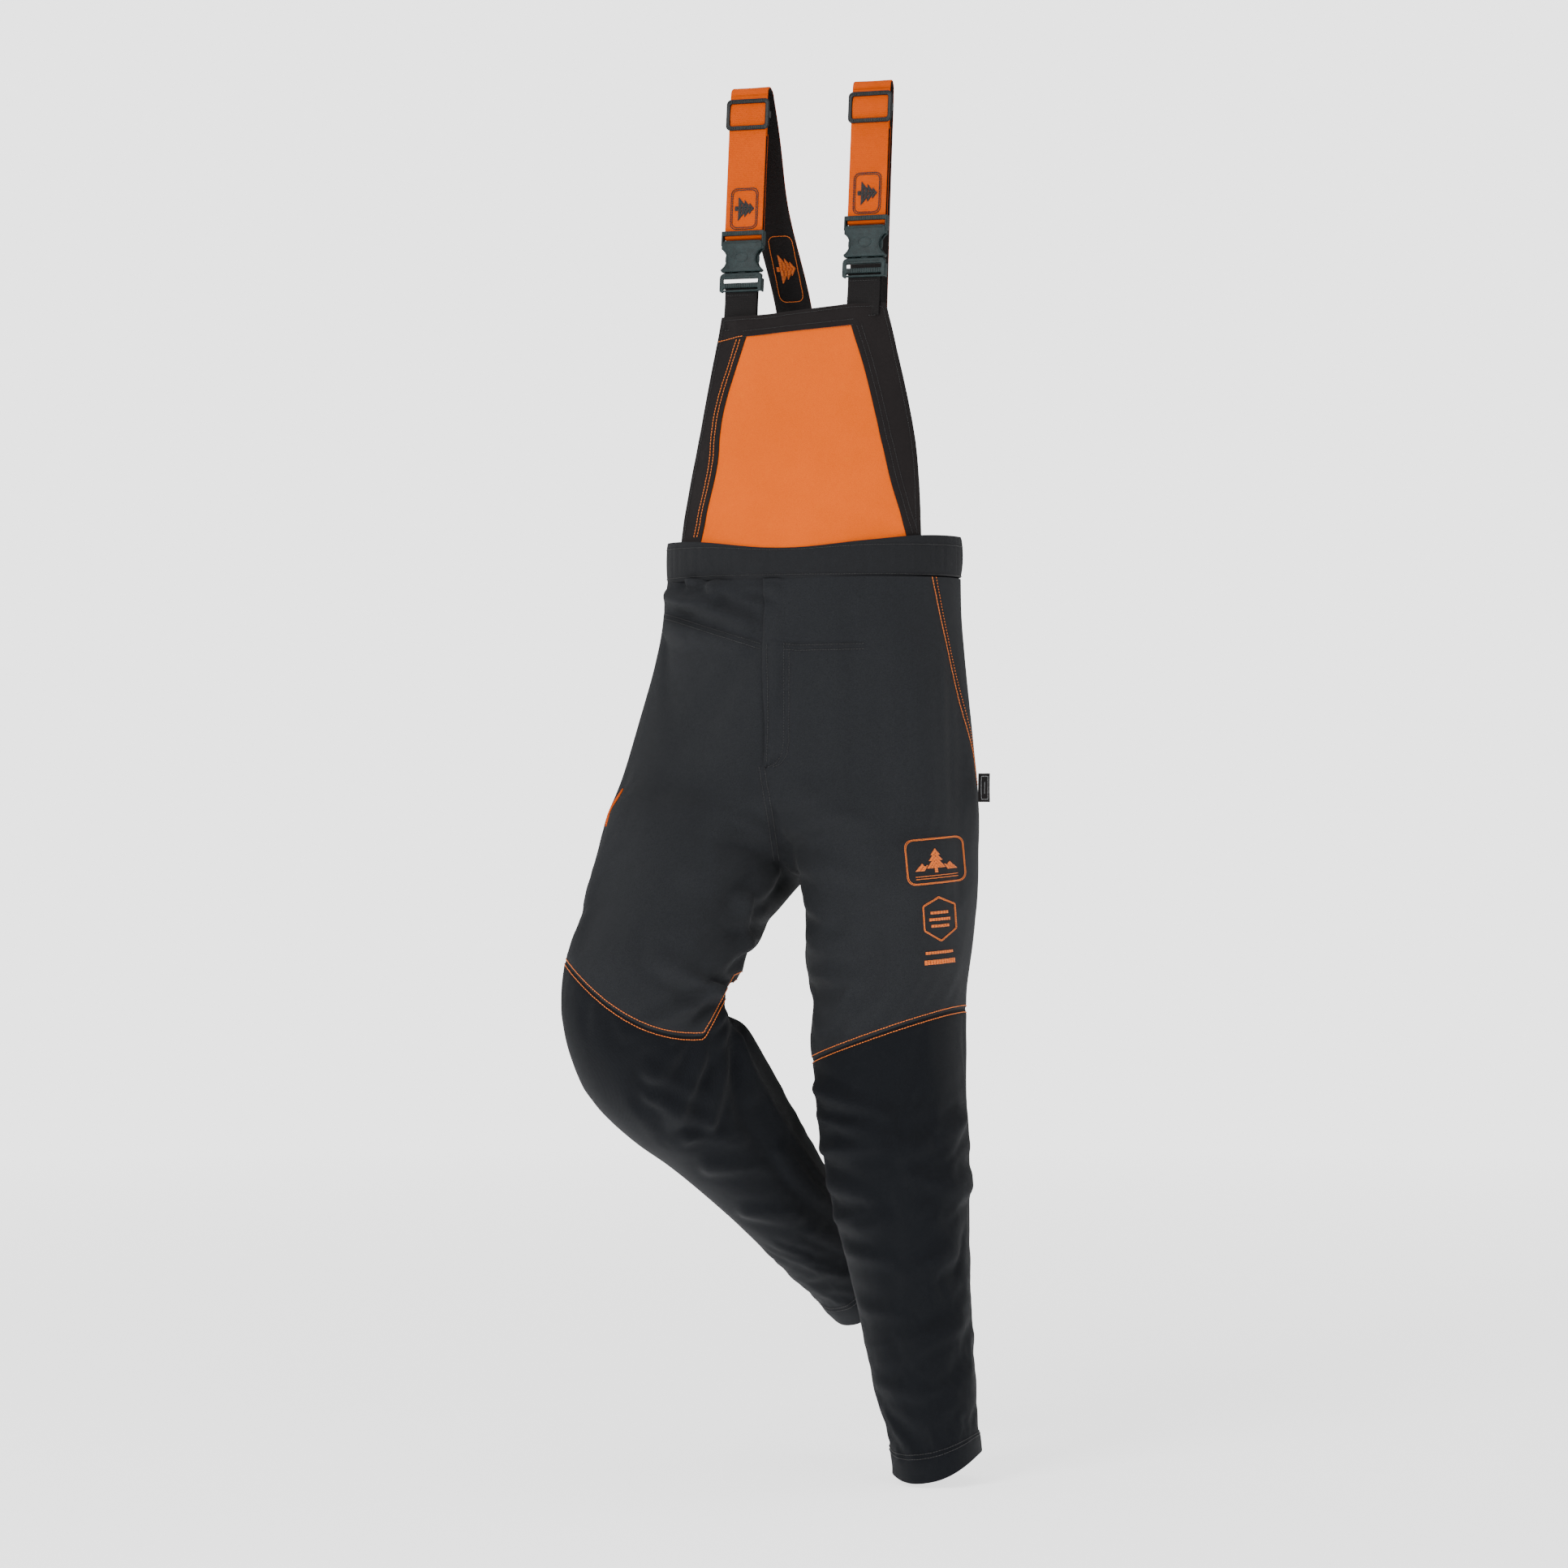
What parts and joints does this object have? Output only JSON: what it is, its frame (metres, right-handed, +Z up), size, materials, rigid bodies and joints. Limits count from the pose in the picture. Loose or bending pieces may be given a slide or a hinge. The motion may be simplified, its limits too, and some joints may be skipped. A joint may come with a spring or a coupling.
{
  "type": "protective bib-and-brace trousers",
  "caption": "Padded forestry work trousers with bib, webbing braces, side-release buckles and fly zip; one leg straight, the other bent at the knee.",
  "frame": {"origin": "centre of the waist at the top edge of the waistband", "axes": "+Z up, front towards -Y, the wearer's left towards +X"},
  "size_m": [0.4847, 0.4564, 1.6984],
  "materials": {
    "upper_cloth": "matte woven",
    "lower_cloth": "matte woven",
    "lining": "soft knit",
    "cut_pad": "fibre layers",
    "bib_orange": "woven",
    "bib_border": "matte woven",
    "webbing_orange": "webbing",
    "webbing_dark": "webbing",
    "elastic": "elastic",
    "buckle_plastic": "satin moulded",
    "zip_tape": "woven tape",
    "zip_metal": "dark plated"
  },
  "bodies": {
    "hips": {"waistband_front": "upper_cloth", "waistband_back": "upper_cloth", "waist_elastic": "elastic", "hip_front_left": "upper_cloth", "hip_front_right": "upper_cloth", "seat_left": "upper_cloth", "seat_right": "upper_cloth", "hip_lining": "lining", "fly_facing": "upper_cloth", "fly_underlap": "upper_cloth", "zip_tape_left": "zip_tape", "zip_tape_right": "zip_tape", "zip_stops": "zip_metal", "side_tab": "webbing_dark", "back_yoke": "upper_cloth", "bib_base": "upper_cloth", "brace_back_left": "webbing_orange", "brace_back_right": "webbing_orange", "hip_fold_left": "upper_cloth", "hip_fold_right": "upper_cloth"},
    "bib": {"bib_centre_panel": "bib_orange", "bib_border_left": "bib_border", "bib_border_right": "bib_border", "bib_backing": "lining", "strap_tab_left": "webbing_dark", "strap_tab_right": "webbing_dark", "buckle_plug_left": "buckle_plastic", "buckle_plug_right": "buckle_plastic", "brace_front_left": "webbing_orange", "brace_front_right": "webbing_orange"},
    "zip_slider": {"zip_slider": "zip_metal"},
    "zip_pull": {"zip_pull": "zip_metal"},
    "left_thigh": {"thigh_front_left": "upper_cloth", "thigh_back_left": "upper_cloth", "thigh_pad_left": "cut_pad", "thigh_lining_left": "lining", "knee_fold_left": "lower_cloth"},
    "left_shin": {"shin_front_left": "lower_cloth", "shin_back_left": "lower_cloth", "shin_pad_left": "cut_pad", "shin_lining_left": "lining", "hem_band_left": "lower_cloth"},
    "left_socket": {"buckle_socket_left": "buckle_plastic"},
    "left_adjuster": {"adjuster_left": "buckle_plastic"},
    "left_prong_outer": {"buckle_prong_left_outer": "buckle_plastic"},
    "left_prong_inner": {"buckle_prong_left_inner": "buckle_plastic"},
    "right_thigh": {"thigh_front_right": "upper_cloth", "thigh_back_right": "upper_cloth", "thigh_pad_right": "cut_pad", "thigh_lining_right": "lining", "knee_fold_right": "lower_cloth"},
    "right_shin": {"shin_front_right": "lower_cloth", "shin_back_right": "lower_cloth", "shin_pad_right": "cut_pad", "shin_lining_right": "lining", "hem_band_right": "lower_cloth"},
    "right_socket": {"buckle_socket_right": "buckle_plastic"},
    "right_adjuster": {"adjuster_right": "buckle_plastic"},
    "right_prong_outer": {"buckle_prong_right_outer": "buckle_plastic"},
    "right_prong_inner": {"buckle_prong_right_inner": "buckle_plastic"}
  },
  "joints": [
    {"name": "left_hip", "type": "hinge", "parent": "hips", "child": "left_thigh", "pos_m": [0.095, 0, -0.24], "axis": [-1, 0, 0], "range_deg": [-4, 70], "deforming": ["hip_fold_left"]},
    {"name": "left_knee", "type": "hinge", "parent": "left_thigh", "child": "left_shin", "pos_m": [0.108, -0.0051, -0.65223], "axis": [1, 0, 0], "range_deg": [0, 95], "deforming": ["knee_fold_left"]},
    {"name": "right_hip", "type": "hinge", "parent": "hips", "child": "right_thigh", "pos_m": [-0.095, 0, -0.24], "axis": [-1, 0, 0], "range_deg": [-45, 3], "deforming": ["hip_fold_right"]},
    {"name": "right_knee", "type": "hinge", "parent": "right_thigh", "child": "right_shin", "pos_m": [-0.14122, -0.1912, -0.57692], "axis": [0.9089, -0.4037, 0.1044], "range_deg": [-79, 8], "deforming": ["knee_fold_right"]},
    {"name": "bib_fold", "type": "hinge", "parent": "hips", "child": "bib", "pos_m": [0, -0.106, 0], "axis": [1, 0, 0], "range_deg": [-12, 20], "deforming": ["bib_base", "brace_back_left", "brace_back_right"]},
    {"name": "left_buckle_release", "type": "slide", "parent": "bib", "child": "left_socket", "axis": [0, 0.1167, 0.9932], "range_m": [0, 0.045], "deforming": ["brace_front_left"]},
    {"name": "left_adjuster_slide", "type": "slide", "parent": "bib", "child": "left_adjuster", "axis": [0, 0.1167, 0.9932], "range_m": [-0.06, 0]},
    {"name": "left_prong_outer_squeeze", "type": "hinge", "parent": "bib", "child": "left_prong_outer", "pos_m": [0.0945, -0.03658, 0.34462], "axis": [0, -0.9932, 0.1167], "range_deg": [0, 6], "stiffness_Nm_per_rad": 0.05},
    {"name": "left_prong_inner_squeeze", "type": "hinge", "parent": "bib", "child": "left_prong_inner", "pos_m": [0.0655, -0.03658, 0.34462], "axis": [0, 0.9932, -0.1167], "range_deg": [0, 6], "stiffness_Nm_per_rad": 0.05},
    {"name": "right_buckle_release", "type": "slide", "parent": "bib", "child": "right_socket", "axis": [0, 0.1167, 0.9932], "range_m": [0, 0.045], "deforming": ["brace_front_right"]},
    {"name": "right_adjuster_slide", "type": "slide", "parent": "bib", "child": "right_adjuster", "axis": [0, 0.1167, 0.9932], "range_m": [-0.06, 0]},
    {"name": "right_prong_outer_squeeze", "type": "hinge", "parent": "bib", "child": "right_prong_outer", "pos_m": [-0.0945, -0.03658, 0.33262], "axis": [0, 0.9932, -0.1167], "range_deg": [0, 6], "stiffness_Nm_per_rad": 0.05},
    {"name": "right_prong_inner_squeeze", "type": "hinge", "parent": "bib", "child": "right_prong_inner", "pos_m": [-0.0655, -0.03658, 0.33262], "axis": [0, -0.9932, 0.1167], "range_deg": [0, 6], "stiffness_Nm_per_rad": 0.05},
    {"name": "zip_slide", "type": "slide", "parent": "hips", "child": "zip_slider", "axis": [0, 0.0628, 0.998], "range_m": [-0.142, 0]},
    {"name": "zip_pull_swing", "type": "hinge", "parent": "zip_slider", "child": "zip_pull", "pos_m": [-0.012, -0.09722, -0.0645], "axis": [-1, 0, 0], "range_deg": [0, 18]}
  ],
  "couplings": [
    {"joint": "left_prong_inner_squeeze", "follows": "left_prong_outer_squeeze", "ratio": 1},
    {"joint": "right_prong_inner_squeeze", "follows": "right_prong_outer_squeeze", "ratio": 1}
  ]
}
